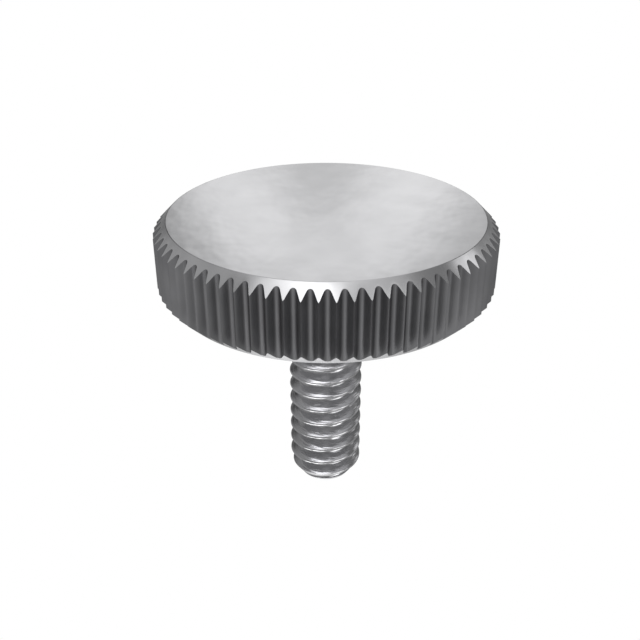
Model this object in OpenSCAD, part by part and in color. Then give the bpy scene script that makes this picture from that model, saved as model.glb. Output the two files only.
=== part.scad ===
// Low-profile thumb screw: a thin disc head with a straight-knurled rim, and a
// threaded shank on the same axis. Turned from one bar, so it is one solid.
// Millimetres, +Z up. It stands on its head as it would be set down, because it
// rolls on its side. The origin is the centre of the head's flat face.

/* [Head] */
// Diameter over the crests of the knurl
head_d = 20.9; // [18:0.1:26]
// Height of the head
head_h = 4.8; // [3.5:0.1:7]
// Width of the 45 degree chamfer on each rim
rim_chamfer = 0.8; // [0.6:0.05:1.2]

/* [Knurl] */
// Number of grooves around the rim
knurl_count = 72; // [66:1:78]
// Included angle of a groove, in degrees
groove_angle = 60; // [58:1:70]
// Radius at the bottom of a groove
groove_root_r = 0.23; // [0.15:0.01:0.24]
// Width of the land left on a crest
knurl_land = 0.04; // [0.03:0.01:0.1]

/* [Shank] */
// Diameter of the plain neck, 0.190 inch
shank_d = 4.826; // [4:0.002:6.5]
// Length from the head's underside to the tip
shank_l = 14.3; // [8:0.1:30]
// Length of the neck, which the thread stops short of
neck_l = 1; // [0.6:0.05:3]
// Radius of the fillet under the head
fillet_r = 0.3; // [0.1:0.05:0.5]

/* [Thread] */
// Pitch of the right-hand thread, 24 to the inch
thread_pitch = 1.058; // [0.8:0.001:1.27]
// Length over which the groove rises into the neck
runout_l = 1; // [0.5:0.05:2]

/* [Tip] */
// Diameter of the flat end
tip_d = 3.4; // [2.6:0.05:3.5]
// Length of the tip's chamfer
tip_chamfer_l = 1; // [0.5:0.05:1.5]

/* [Hidden] */
$fn = 144;
GROOVE_FN = 24;
OVERCUT = 0.4;
crest_r = head_d / 2;
face_r = crest_r - rim_chamfer;
shank_r = shank_d / 2;
neck_end = head_h + neck_l;
overall_l = head_h + shank_l;
tip_slope = (shank_r - tip_d / 2) / tip_chamfer_l;

// Polar angle, seen from a groove's own centre line, at which its flank meets the crest
groove_step = 360 / knurl_count;
half_angle = groove_angle / 2;
flank_end = groove_step / 2 - (knurl_land / 2) / crest_r * 180 / PI;
crest_x = crest_r * cos(flank_end);
crest_y = crest_r * sin(flank_end);
// The root circle touches both flanks of the V
root_x = crest_x - crest_y / tan(half_angle) + groove_root_r / sin(half_angle);
flank_x = root_x - groove_root_r * sin(half_angle);
flank_y = groove_root_r * cos(half_angle);
// The cutter goes straight out past the crest, clear of the next groove's cutter
clear = (crest_r + OVERCUT) / crest_r;

// Unified thread: 60 degree flanks, and a flat crest of an eighth of the pitch
THREAD_STEPS = 36;
THREAD_HALF_ANGLE = 30;
// The crests' allowance below the neck, on the radius
THREAD_ALLOWANCE = 0.013;
ROOT_EMBED = 0.08;
thread_r = shank_r - THREAD_ALLOWANCE;
thread_depth = 0.6134 * thread_pitch;
thread_root_r = thread_r - thread_depth;
crest_half_w = thread_pitch / 16;
base_half_w = crest_half_w + (thread_depth + ROOT_EMBED) * tan(THREAD_HALF_ANGLE);
// Ridge section, as [radius, height], clockwise from the inner lower corner
ridge_section = [
    [thread_root_r - ROOT_EMBED, -base_half_w],
    [thread_root_r - ROOT_EMBED, base_half_w],
    [thread_r, crest_half_w],
    [thread_r, -crest_half_w]
];
// The ridge starts inside the neck and ends past the tip, where tip_cut takes it off
ridge_start = neck_end - thread_pitch;
ridge_count = ceil(((overall_l - ridge_start) / thread_pitch + 1) * THREAD_STEPS);
ridge_top = overall_l + 2 * thread_pitch;

// Half section of the turned bar, with the thread's core: radius along x, height along y
module turned_section() {
    polygon([
        [0, 0],
        [face_r, 0],
        [crest_r, rim_chamfer],
        [crest_r, head_h - rim_chamfer],
        [face_r, head_h],
        [shank_r, head_h],
        [shank_r, neck_end],
        [thread_root_r, neck_end + runout_l],
        [thread_root_r, overall_l + OVERCUT],
        [0, overall_l + OVERCUT]
    ]);
    under_head_fillet();
}

module under_head_fillet() {
    difference() {
        translate([shank_r, head_h])
            square(fillet_r);
        translate([shank_r + fillet_r, head_h + fillet_r])
            circle(r = fillet_r);
    }
}

module turned_blank() {
    rotate_extrude()
        turned_section();
}

function ridge_point(p, i) =
    let (turn = i / THREAD_STEPS)
    [p[0] * cos(360 * turn), p[0] * sin(360 * turn), ridge_start + p[1] + thread_pitch * turn];

// The helical ridge stands on the core and sinks into the cone of the runout
module thread_ridge() {
    corners = len(ridge_section);
    points = [for (i = [0 : ridge_count]) for (p = ridge_section) ridge_point(p, i)];
    sides = [
        for (i = [0 : ridge_count - 1])
            for (j = [0 : corners - 1])
                let (
                    a = i * corners + j,
                    b = i * corners + (j + 1) % corners
                )
                each [[a, a + corners, b], [b, a + corners, b + corners]]
    ];
    last = ridge_count * corners;
    polyhedron(
        points = points,
        faces = concat(
            [[0, 1, 2], [0, 2, 3]],
            sides,
            [[last, last + 2, last + 1], [last, last + 3, last + 2]]
        )
    );
}

// Faces the tip square and chamfers it through the first turns of the thread
module tip_cut() {
    rotate_extrude()
        polygon([
            [0, overall_l],
            [tip_d / 2, overall_l],
            [shank_r + OVERCUT, overall_l - tip_chamfer_l - OVERCUT / tip_slope],
            [shank_r + OVERCUT, ridge_top],
            [0, ridge_top]
        ]);
}

// One V groove with a rounded root, lying along +X
module groove_section() {
    polygon([
        [flank_x, flank_y],
        [crest_x, crest_y],
        [crest_x * clear, crest_y * clear],
        [crest_x * clear, -crest_y * clear],
        [crest_x, -crest_y],
        [flank_x, -flank_y]
    ]);
    translate([root_x, 0])
        circle(r = groove_root_r, $fn = GROOVE_FN);
}

module knurl_grooves() {
    for (i = [0 : knurl_count - 1])
        rotate(i * groove_step)
            translate([0, 0, -OVERCUT])
                linear_extrude(height = head_h + 2 * OVERCUT)
                    groove_section();
}

module thumb_screw() {
    color([0.72, 0.72, 0.73])
        difference() {
            union() {
                turned_blank();
                thread_ridge();
            }
            tip_cut();
            knurl_grooves();
        }
}

thumb_screw();
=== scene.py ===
import math

import bmesh
import bpy
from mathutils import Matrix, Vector


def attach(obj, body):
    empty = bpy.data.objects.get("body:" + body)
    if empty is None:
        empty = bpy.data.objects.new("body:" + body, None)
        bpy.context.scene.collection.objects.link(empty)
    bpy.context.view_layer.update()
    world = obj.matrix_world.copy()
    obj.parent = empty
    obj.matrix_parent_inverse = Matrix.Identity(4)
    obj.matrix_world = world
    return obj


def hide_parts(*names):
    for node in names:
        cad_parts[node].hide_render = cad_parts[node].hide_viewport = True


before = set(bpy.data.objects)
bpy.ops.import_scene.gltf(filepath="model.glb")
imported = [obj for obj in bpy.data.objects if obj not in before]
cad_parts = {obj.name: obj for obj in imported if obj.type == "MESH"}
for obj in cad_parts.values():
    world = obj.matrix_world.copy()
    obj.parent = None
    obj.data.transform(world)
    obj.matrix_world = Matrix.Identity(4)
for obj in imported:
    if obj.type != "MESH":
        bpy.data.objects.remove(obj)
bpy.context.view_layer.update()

# ---------------------------------------------------------------- Thumb screw
# One piece of bright steel, turned from bar: a thin disc head, whose rim has a
# straight rolled knurl, and a die-cut thread on the same axis. The head's flat
# face is at z = 0, because the screw stands on its head with the tip upwards.

mm = 0.001
# Places closer than this are taken as the same place.
NEAR = 0.01 * mm

# The head is a disc, and both of its rims are chamfered at 45 degrees.
HEAD_R = 10.45 * mm
HEAD_H = 4.8 * mm
RIM_CHAMFER = 0.8 * mm
FACE_R = HEAD_R - RIM_CHAMFER
FACE_EDGE_R = 0.02 * mm

# The knurl has V grooves with rounded roots, and upright lines draw their shape.
GROOVES = 72
GROOVE_STEP = 2 * math.pi / GROOVES
GROOVE_HALF_ANGLE = math.radians(30)
GROOVE_ROOT_R = 0.23 * mm
CREST_LAND = 0.04 * mm
LINES_PER_GROOVE = 16
LINE_STEP = GROOVE_STEP / LINES_PER_GROOVE
RIM_POINTS = GROOVES * LINES_PER_GROOVE


def work_on(piece):
    """Selects only this piece and opens it in edit mode."""
    if bpy.context.mode != "OBJECT":
        bpy.ops.object.mode_set(mode="OBJECT")
    bpy.ops.object.select_all(action="DESELECT")
    piece.select_set(True)
    bpy.context.view_layer.objects.active = piece
    bpy.ops.object.mode_set(mode="EDIT")
    bpy.ops.mesh.select_mode(type="VERT")


def put_down():
    """Closes the piece that is worked on, with nothing left selected."""
    bpy.ops.object.mode_set(mode="OBJECT")
    bpy.ops.object.select_all(action="DESELECT")


def pick(piece, kind, test):
    """Selects the piece's verts, edges or faces that pass the test, and no others."""
    mode = {"verts": "VERT", "edges": "EDGE", "faces": "FACE"}[kind]
    bpy.ops.mesh.select_mode(type=mode)
    bpy.ops.mesh.select_all(action="DESELECT")
    shape = bmesh.from_edit_mesh(piece.data)
    for element in getattr(shape, kind):
        if test(element):
            element.select_set(True)
    shape.select_flush_mode()
    bmesh.update_edit_mesh(piece.data)


def from_axis(point):
    return math.hypot(point.x, point.y)


def groove_wall(turn):
    """The wall's distance from the axis, at an angle from its groove's centre line."""
    crest_turn = GROOVE_STEP / 2 - CREST_LAND / 2 / HEAD_R
    apex = HEAD_R * (math.cos(crest_turn) - math.sin(crest_turn) / math.tan(GROOVE_HALF_ANGLE))
    root_x = apex + GROOVE_ROOT_R / math.sin(GROOVE_HALF_ANGLE)
    flank_x = root_x - GROOVE_ROOT_R * math.sin(GROOVE_HALF_ANGLE)
    flank_turn = math.atan2(GROOVE_ROOT_R * math.cos(GROOVE_HALF_ANGLE), flank_x)
    if turn < flank_turn:
        return root_x * math.cos(turn) - math.sqrt(GROOVE_ROOT_R**2 - (root_x * math.sin(turn))**2)
    if turn < crest_turn:
        return apex * math.sin(GROOVE_HALF_ANGLE) / math.sin(GROOVE_HALF_ANGLE - turn)
    return HEAD_R


def on_line(v, line, rim_z):
    """Whether the vert is on this line of a groove, counted from the centre line, at a rim."""
    turn = math.atan2(v.co.y, v.co.x)
    off_centre = abs(turn - GROOVE_STEP * round(turn / GROOVE_STEP))
    at_rim = abs(v.co.z - rim_z) < NEAR and abs(from_axis(v.co) - HEAD_R) < NEAR
    return at_rim and abs(off_centre - line * LINE_STEP) < LINE_STEP / 4


# The disc is raised from its face. Scaling about a chamfer's apex follows the chamfer.
bpy.ops.object.select_all(action="DESELECT")
bpy.ops.mesh.primitive_circle_add(vertices=RIM_POINTS, radius=FACE_R, fill_type="NGON")
screw = bpy.context.object
screw.name = "turned_thumb_screw"
lower_apex = (0, 0, -FACE_R)
upper_apex = (0, 0, HEAD_H + FACE_R)
work_on(screw)
pick(screw, "edges", lambda e: e.is_boundary)
bpy.ops.mesh.extrude_edges_move()
bpy.ops.transform.resize(value=(HEAD_R / FACE_R,) * 3, center_override=lower_apex)
bpy.ops.mesh.extrude_edges_move(TRANSFORM_OT_translate={"value": (0, 0, HEAD_H - 2 * RIM_CHAMFER)})
bpy.ops.mesh.extrude_edges_move()
bpy.ops.transform.resize(value=(FACE_R / HEAD_R,) * 3, center_override=upper_apex)

# Each line of the knurl slides in along both chamfers to its groove's depth.
for line in range(LINES_PER_GROOVE // 2):
    slide = (groove_wall(line * LINE_STEP) / HEAD_R,) * 3
    for rim_z, apex in ((RIM_CHAMFER, lower_apex), (HEAD_H - RIM_CHAMFER, upper_apex)):
        pick(screw, "verts", lambda v: on_line(v, line, rim_z))
        bpy.ops.transform.resize(value=slide, center_override=apex)

# The face's edge is barely broken, and a narrow ring inside it keeps the face flat.
pick(screw, "edges", lambda e: all(abs(v.co.z) < NEAR and from_axis(v.co) > FACE_R - NEAR
                                   for v in e.verts))
bpy.ops.mesh.bevel(offset=FACE_EDGE_R, segments=2, affect="EDGES")
pick(screw, "faces", lambda f: len(f.verts) == RIM_POINTS)
bpy.ops.mesh.inset(thickness=FACE_EDGE_R)
put_down()

# The shank has a fillet and a short plain neck at the head, and a chamfered tip.
NECK_R = 2.413 * mm
NECK_L = 1.0 * mm
NECK_END = HEAD_H + NECK_L
FILLET_R = 0.3 * mm
RUNOUT_L = 1.0 * mm
SHANK_L = 14.3 * mm
TIP_R = 1.7 * mm
TIP_CHAMFER_L = 1.0 * mm
TIP_Z = HEAD_H + SHANK_L
TIP_SLOPE = (NECK_R - TIP_R) / TIP_CHAMFER_L
TURN_STEPS = 72

# The thread is right-hand, 24 to the inch, with 60 degree flanks between rounded crests
# and rounded roots. It is wound long and cut to length.
PITCH = 1.058 * mm
THREAD_HALF_ANGLE = math.radians(30)
CREST_R = 2.4 * mm
CREST_HALF_W = PITCH / 16
CREST_ROUND = 0.1 * mm
ROOT_ROUND = 0.144 * PITCH
THREAD_TURNS = 16
THREAD_START = NECK_END - 2 * PITCH


def arc(centre, radius, bends):
    """Points round a centre, as (along the axis, out from it), at angles from straight out."""
    turns = [math.radians(bend) for bend in bends]
    return [(centre[0] + radius * math.sin(turn), centre[1] + radius * math.cos(turn))
            for turn in turns]


def apply_to(piece, modifier):
    bpy.context.view_layer.objects.active = piece
    bpy.ops.object.modifier_apply(modifier=modifier.name)


# Half a pitch of the thread's outline, from the middle of a crest to the bottom of a root.
crest_centre = (CREST_HALF_W - CREST_ROUND * math.tan(THREAD_HALF_ANGLE), CREST_R - CREST_ROUND)
apex_r = CREST_R - (PITCH / 2 - CREST_HALF_W) / math.tan(THREAD_HALF_ANGLE)
root_centre = (PITCH / 2, apex_r + ROOT_ROUND / math.sin(THREAD_HALF_ANGLE))
crest = arc(crest_centre, CREST_ROUND, range(0, 61, 15))
root = arc(root_centre, -ROOT_ROUND, range(60, -1, -20))
(crest_s, crest_r), (root_s, root_r) = crest[-1], root[0]
flank = [(crest_s + (root_s - crest_s) * part, crest_r + (root_r - crest_r) * part)
         for part in (1 / 3, 2 / 3)]
half_line = [(0, CREST_R)] + crest + flank + root
pitch_line = [(-s, r) for s, r in reversed(half_line)] + half_line[1:]

# That outline is wound up the axis, then cut square inside the neck and at the tip.
bpy.ops.mesh.primitive_plane_add(size=PITCH)
thread = bpy.context.object
work_on(thread)
bpy.ops.mesh.merge(type="CENTER")
bpy.ops.transform.translate(value=(pitch_line[0][1], 0, THREAD_START + pitch_line[0][0]))
for (s0, r0), (s1, r1) in zip(pitch_line, pitch_line[1:]):
    bpy.ops.mesh.extrude_vertices_move(TRANSFORM_OT_translate={"value": (r1 - r0, 0, s1 - s0)})
put_down()
wind = thread.modifiers.new("wind", "SCREW")
wind.screw_offset = PITCH
wind.iterations = THREAD_TURNS
wind.steps = TURN_STEPS
wind.render_steps = TURN_STEPS
apply_to(thread, wind)
work_on(thread)
bpy.ops.mesh.select_all(action="SELECT")
bpy.ops.mesh.remove_doubles(threshold=NEAR / 10)
for cut_z, keep_above in ((NECK_END - PITCH / 2, True), (TIP_Z, False)):
    bpy.ops.mesh.select_all(action="SELECT")
    bpy.ops.mesh.bisect(plane_co=(0, 0, cut_z), plane_no=(0, 0, 1), threshold=NEAR / 100,
                        use_fill=True, clear_inner=keep_above, clear_outer=not keep_above)
bpy.ops.mesh.select_all(action="SELECT")
bpy.ops.mesh.normals_make_consistent(inside=False)
put_down()

# The neck starts at the fillet and ends in the cone that the thread's groove rises along.
bpy.ops.mesh.primitive_circle_add(vertices=TURN_STEPS, radius=NECK_R + FILLET_R,
                                  fill_type="NGON", location=(0, 0, HEAD_H))
neck = bpy.context.object
bpy.ops.object.transform_apply(location=True, rotation=False, scale=False)
rings = arc((HEAD_H + FILLET_R, NECK_R + FILLET_R), -FILLET_R, range(90, -1, -18))
rings += [(NECK_END, NECK_R), (NECK_END + RUNOUT_L, root[-1][1] - 2 * NEAR)]
work_on(neck)
pick(neck, "edges", lambda e: e.is_boundary)
for (z0, r0), (z1, r1) in zip(rings, rings[1:]):
    bpy.ops.mesh.extrude_edges_move(TRANSFORM_OT_translate={"value": (0, 0, z1 - z0)})
    bpy.ops.transform.resize(value=(r1 / r0, r1 / r0, 1), center_override=(0, 0, z1))
bpy.ops.mesh.edge_face_add()
bpy.ops.mesh.select_all(action="SELECT")
bpy.ops.mesh.normals_make_consistent(inside=False)
put_down()

# The thread is kept within a cone, which chamfers the tip, and welded to the neck.
cone_base = NECK_END - PITCH
cone_h = TIP_Z - cone_base
bpy.ops.mesh.primitive_cone_add(vertices=TURN_STEPS, radius1=TIP_R + cone_h * TIP_SLOPE,
                                radius2=TIP_R, depth=cone_h,
                                location=(0, 0, (TIP_Z + cone_base) / 2))
tip_cone = bpy.context.object
bpy.ops.object.transform_apply(location=True, rotation=False, scale=False)
for operation, other in (("INTERSECT", tip_cone), ("UNION", neck)):
    cut = thread.modifiers.new("cut", "BOOLEAN")
    cut.operation = operation
    cut.object = other
    cut.solver = "EXACT"
    apply_to(thread, cut)
    bpy.data.objects.remove(other)

# The shank's base opens and joins the head, whose underside closes up to the fillet.
# A narrow ring round the fillet keeps the underside's shading flat.
RING_SPREAD = 1.01
work_on(thread)
pick(thread, "faces", lambda f: all(abs(v.co.z - HEAD_H) < NEAR for v in f.verts))
bpy.ops.mesh.delete(type="FACE")
put_down()
thread.select_set(True)
screw.select_set(True)
bpy.context.view_layer.objects.active = screw
bpy.ops.object.join()
work_on(screw)
pick(screw, "edges", lambda e: e.is_boundary and from_axis(e.verts[0].co) < NECK_R + FILLET_R + NEAR)
bpy.ops.mesh.extrude_edges_move()
bpy.ops.transform.resize(value=(RING_SPREAD, RING_SPREAD, 1), center_override=(0, 0, HEAD_H))
pick(screw, "edges", lambda e: e.is_boundary)
bpy.ops.mesh.fill(use_beauty=True)
bpy.ops.mesh.select_all(action="SELECT")
bpy.ops.mesh.remove_doubles(threshold=NEAR / 100)
bpy.ops.mesh.normals_make_consistent(inside=False)
put_down()
screw.select_set(True)
SHARP_FROM = math.radians(30)
bpy.ops.object.shade_smooth_by_angle(angle=SHARP_FROM)


def srgb(code):
    """A colour written as six hex digits, as the linear values that Blender reads."""
    parts = [int(code[i:i + 2], 16) / 255 for i in (0, 2, 4)]
    return tuple(c / 12.92 if c <= 0.04045 else ((c + 0.055) / 1.055)**2.4 for c in parts) + (1,)


def add_node(tree, kind, settings=(), links=()):
    """Adds a node. Settings are its properties and sockets, and links join sources to sockets."""
    node = tree.nodes.new(kind)
    for name, value in dict(settings).items():
        if isinstance(name, str) and hasattr(node, name):
            setattr(node, name, value)
        else:
            node.inputs[name].default_value = value
    for name, source in dict(links).items():
        tree.links.new(source, node.inputs[name])
    return node


def new_material(name):
    material = bpy.data.materials.new(name)
    material.use_nodes = True
    material.node_tree.nodes.clear()
    return material, material.node_tree


def steel(name, dark, light, roughness, grain, depth, turned=False):
    """Bare steel in two near tones, with tool marks of this size and depth.

    The marks of a turned surface run round the axis, so they follow the distance from it,
    and the highlights are stretched across them.
    """
    tone_size = 2.2 * mm
    tone_ends = (0.35, 0.65)
    material, tree = new_material(name)
    place = add_node(tree, "ShaderNodeTexCoord").outputs["Object"]
    tones = add_node(tree, "ShaderNodeTexNoise", {"Scale": 1 / tone_size, "Detail": 1.0},
                     {"Vector": place})
    colour = add_node(tree, "ShaderNodeValToRGB", {}, {"Fac": tones.outputs["Fac"]})
    for stop, position, code in zip(colour.color_ramp.elements, tone_ends, (dark, light)):
        stop.position = position
        stop.color = srgb(code)
    shader = add_node(tree, "ShaderNodeBsdfPrincipled", {"Metallic": 1.0, "Roughness": roughness},
                      {"Base Color": colour.outputs["Color"]})
    if turned:
        level_place = add_node(tree, "ShaderNodeVectorMath",
                               {"operation": "MULTIPLY", 1: (1, 1, 0)}, {0: place})
        reach = add_node(tree, "ShaderNodeVectorMath", {"operation": "LENGTH"},
                         {0: level_place.outputs["Vector"]})
        place = add_node(tree, "ShaderNodeCombineXYZ", {},
                         {"X": reach.outputs["Value"]}).outputs["Vector"]
        round_axis = add_node(tree, "ShaderNodeTangent", {"direction_type": "RADIAL", "axis": "Z"})
        shader.inputs["Anisotropic"].default_value = 0.7
        shader.inputs["Anisotropic Rotation"].default_value = 0.25
        tree.links.new(round_axis.outputs["Tangent"], shader.inputs["Tangent"])
    spread = add_node(tree, "ShaderNodeMapping", {"Scale": [1 / size for size in grain]},
                      {"Vector": place})
    marks = add_node(tree, "ShaderNodeTexNoise", {"Scale": 1.0, "Detail": 2.0},
                     {"Vector": spread.outputs["Vector"]})
    bumps = add_node(tree, "ShaderNodeBump", {"Distance": depth}, {"Height": marks.outputs["Fac"]})
    tree.links.new(bumps.outputs["Normal"], shader.inputs["Normal"])
    add_node(tree, "ShaderNodeOutputMaterial", {}, {"Surface": shader.outputs["BSDF"]})
    return material


# Bright steel as it leaves the lathe. It is satin, and its rings are drawn 0.25 mm wide,
# coarser than the real feed marks, so that they show.
turned_steel = steel("turned_bright_steel", dark="D6D6D8", light="E2E2E4", roughness=0.25,
                     grain=(0.25 * mm, 1, 1), depth=0.003 * mm, turned=True)
# The face is polished after facing. It is a soft mirror with shallow waves 2 mm wide.
polished_steel = steel("polished_bright_steel", dark="DADADC", light="E0E0E2", roughness=0.14,
                       grain=(1.6 * mm, 2.6 * mm, 2.0 * mm), depth=0.019 * mm)
# The knurled rim is dull, and its dark colour is painted shade: the head's steel drawn darker, as
# its grooves look, with faint upright streaks 0.3 mm wide.
knurl_steel_painted_shade = steel("knurl_steel_with_painted_shade", dark="808082", light="8A8A8C", roughness=0.35,
                      grain=(0.3 * mm, 0.3 * mm, 4.0 * mm), depth=0.002 * mm)
# The die tears the thread a little. It is bright, with streaks 0.13 mm wide along its turns,
# drawn coarser and deeper than the real ones, so that they show.
# Its tones are a darker copy of the head's steel, which is painted shade that keeps the thread's
# grooves dark.
thread_steel_painted_shade = steel("die_cut_thread_steel_painted_shade", dark="B8B8BA", light="C4C4C6", roughness=0.2,
                       grain=(1.6 * mm, 1.6 * mm, 0.13 * mm), depth=0.04 * mm)

# How far a normal may rise on an upright wall, and how far it drops on the level face.
WALL_RISE = 0.3
FACE_DROP = -0.99


def is_rim(f):
    return abs(f.normal.z) < WALL_RISE and from_axis(f.calc_center_median()) > FACE_R + 10 * NEAR


def on_tip_cone(v):
    return abs(from_axis(v.co) - TIP_R - (TIP_Z - v.co.z) * TIP_SLOPE) < NEAR


def is_thread(f):
    on_end = all(abs(v.co.z - TIP_Z) < NEAR for v in f.verts)
    on_chamfer = all(on_tip_cone(v) for v in f.verts)
    return f.calc_center_median().z > NECK_END and not on_end and not on_chamfer


def is_face(f):
    return f.normal.z < FACE_DROP and f.calc_center_median().z < NEAR


screw.data.materials.append(turned_steel)
work_on(screw)
for material, test in ((knurl_steel_painted_shade, is_rim), (thread_steel_painted_shade, is_thread),
                       (polished_steel, is_face)):
    screw.data.materials.append(material)
    screw.active_material_index = len(screw.data.materials) - 1
    pick(screw, "faces", test)
    bpy.ops.object.material_slot_assign()
put_down()
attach(screw, "root")
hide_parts("thumb_screw")

# ---------------------------------------------------------------- Floor
# A round sheet of pale paper, just under the face that the screw stands on. It is clear
# from below, where it would hide that face, and clear to the steel, which mirrors the
# room instead.
FLOOR_R = 1.5
FLOOR_Z = -0.03 * mm
FLOOR_SIDES = 64
bpy.ops.mesh.primitive_circle_add(vertices=FLOOR_SIDES, radius=FLOOR_R, fill_type="NGON",
                                  location=(0, 0, FLOOR_Z))
floor = bpy.context.object
floor.name = "floor"
paper, tree = new_material("pale_paper")
rays = add_node(tree, "ShaderNodeLightPath")
side = add_node(tree, "ShaderNodeNewGeometry")
above = add_node(tree, "ShaderNodeMath", {"operation": "SUBTRACT", 0: 1.0},
                 {1: side.outputs["Backfacing"]})
seen = add_node(tree, "ShaderNodeMath", {"operation": "MULTIPLY"},
                {0: rays.outputs["Is Camera Ray"], 1: above.outputs["Value"]})
clear = add_node(tree, "ShaderNodeBsdfTransparent")
sheet = add_node(tree, "ShaderNodeBsdfDiffuse", {"Color": srgb("F4F4F4")})
mixed = add_node(tree, "ShaderNodeMixShader", {},
                 {"Fac": seen.outputs["Value"], 1: clear.outputs["BSDF"], 2: sheet.outputs["BSDF"]})
add_node(tree, "ShaderNodeOutputMaterial", {}, {"Surface": mixed.outputs["Shader"]})
floor.data.materials.append(paper)

# ---------------------------------------------------------------- Studio
# A grey room with soft round lamps, which is what the steel mirrors. The camera sees
# plain white behind the screw, and a softbox lights the floor.

# The room's level at each height, from straight down (-1) to straight up (1).
ROOM_LEVELS = ((-1.0, 0.9), (-0.9, 0.5), (-0.8, 0.2), (-0.45, 0.18), (-0.2, 0.34), (0.0, 0.42),
               (0.2, 0.5), (0.38, 0.4), (0.55, 0.36), (0.78, 0.42), (0.9, 0.9), (1.0, 1.0))
# Each lamp has its turn from straight behind the screw and its rise, the angles from its
# middle where it starts to fade and where it ends, all in degrees, and its level.
LAMPS = [
    (2, -22, 6, 18, 0.60),      # the sheen across the face
    (0, -53, 8, 20, 0.45),      # the face's broken edge
    (-151, -60, 17, 26, 0.80),  # the front of the chamfer
    (-172, -61, 6, 16, 0.70),   # a brighter spot in the middle of it
    (66, -28, 4, 13, 1.00),     # a bright spot on one side of the chamfer
    (139, -27, 12, 28, 2.20),   # a bright streak down the thread
    (-72, -35, 8, 35, 0.18),    # a faint glow on the chamfer's other side
    (180, 34, 6, 18, 0.40),     # glints in the thread's grooves
    (0, 0, 30, 48, -0.22),      # a black flag, which takes light away
]
# Two rows of small lamps spread out and up the face, with a darker wedge between them.
ROW_LAMPS = 5
for row_side in (-1, 1):
    for place_in_row in range(ROW_LAMPS):
        row_turn = row_side * (2.4 + 1.7 * place_in_row)
        row_rise = 2.3 * place_in_row - 25.2
        LAMPS.append((row_turn, row_rise, 1, 5, 0.145))

world = bpy.data.worlds.new("studio")
bpy.context.scene.world = world
world.use_nodes = True
room = world.node_tree
room.nodes.clear()
way = add_node(room, "ShaderNodeTexCoord").outputs["Generated"]
height = add_node(room, "ShaderNodeSeparateXYZ", {}, {"Vector": way}).outputs["Z"]
share = add_node(room, "ShaderNodeMapRange", {"From Min": -1.0, "From Max": 1.0}, {"Value": height})
walls = add_node(room, "ShaderNodeValToRGB", {}, {"Fac": share.outputs["Result"]})
while len(walls.color_ramp.elements) < len(ROOM_LEVELS):
    walls.color_ramp.elements.new(0.5)
for stop, (stop_height, level) in zip(walls.color_ramp.elements, ROOM_LEVELS):
    stop.position = (stop_height + 1) / 2
    stop.color = (level, level, level, 1)
light = walls.outputs["Color"]
for *angles, level in LAMPS:
    turn, rise, fade, end = (math.radians(angle) for angle in angles)
    towards = (-math.sin(turn) * math.cos(rise), math.cos(turn) * math.cos(rise), math.sin(rise))
    facing = add_node(room, "ShaderNodeVectorMath", {"operation": "DOT_PRODUCT", 1: towards},
                      {0: way})
    lamp = add_node(room, "ShaderNodeMapRange",
                    {"interpolation_type": "SMOOTHSTEP", "From Min": math.cos(end),
                     "From Max": math.cos(fade), "To Max": level},
                    {"Value": facing.outputs["Value"]})
    total = add_node(room, "ShaderNodeVectorMath", {"operation": "ADD"},
                     {0: light, 1: lamp.outputs["Result"]})
    light = total.outputs["Vector"]
rays = add_node(room, "ShaderNodeLightPath")
plain = add_node(room, "ShaderNodeMath", {"operation": "MAXIMUM"},
                 {0: rays.outputs["Is Camera Ray"], 1: rays.outputs["Is Transmission Ray"]})
lit_room = add_node(room, "ShaderNodeBackground", {}, {"Color": light})
white = add_node(room, "ShaderNodeBackground", {"Color": srgb("FFFFFF")})
both = add_node(room, "ShaderNodeMixShader", {},
                {"Fac": plain.outputs["Value"], 1: lit_room.outputs["Background"],
                 2: white.outputs["Background"]})
add_node(room, "ShaderNodeOutputWorld", {}, {"Surface": both.outputs["Shader"]})

# The softbox hangs over the screw and throws its shadow on the floor.
SOFTBOX_SIZE = 1.4
SOFTBOX_DISTANCE = 2.0
SOFTBOX_RADIANCE = 2.7
hang = Vector((0.35, -0.3, 0.9)).normalized()
softbox_light = bpy.data.lights.new("softbox", "AREA")
softbox_light.size = SOFTBOX_SIZE
softbox_light.energy = SOFTBOX_RADIANCE * math.pi * SOFTBOX_SIZE**2
softbox = bpy.data.objects.new("softbox", softbox_light)
bpy.context.collection.objects.link(softbox)
softbox.location = hang * SOFTBOX_DISTANCE
softbox.rotation_euler = hang.to_track_quat("Z", "Y").to_euler()
softbox.visible_camera = False

# ---------------------------------------------------------------- Camera
# It looks up at the head's face from under the clear floor, and is held upside down,
# so the head is at the top of the picture.
CAMERA_RISE = math.radians(28.449)
CAMERA_PLACE = (0.3814 * mm, -47.877 * mm, -18.527 * mm)
camera_lens = bpy.data.cameras.new("camera")
camera_lens.sensor_width = 36
camera_lens.lens = 47.267
camera_lens.clip_start = 1 * mm
camera = bpy.data.objects.new("camera", camera_lens)
bpy.context.collection.objects.link(camera)
camera.location = CAMERA_PLACE
camera.rotation_euler = (-math.pi / 2 - CAMERA_RISE, 0, math.pi)
bpy.context.scene.camera = camera
bpy.context.scene.view_settings.view_transform = "Standard"
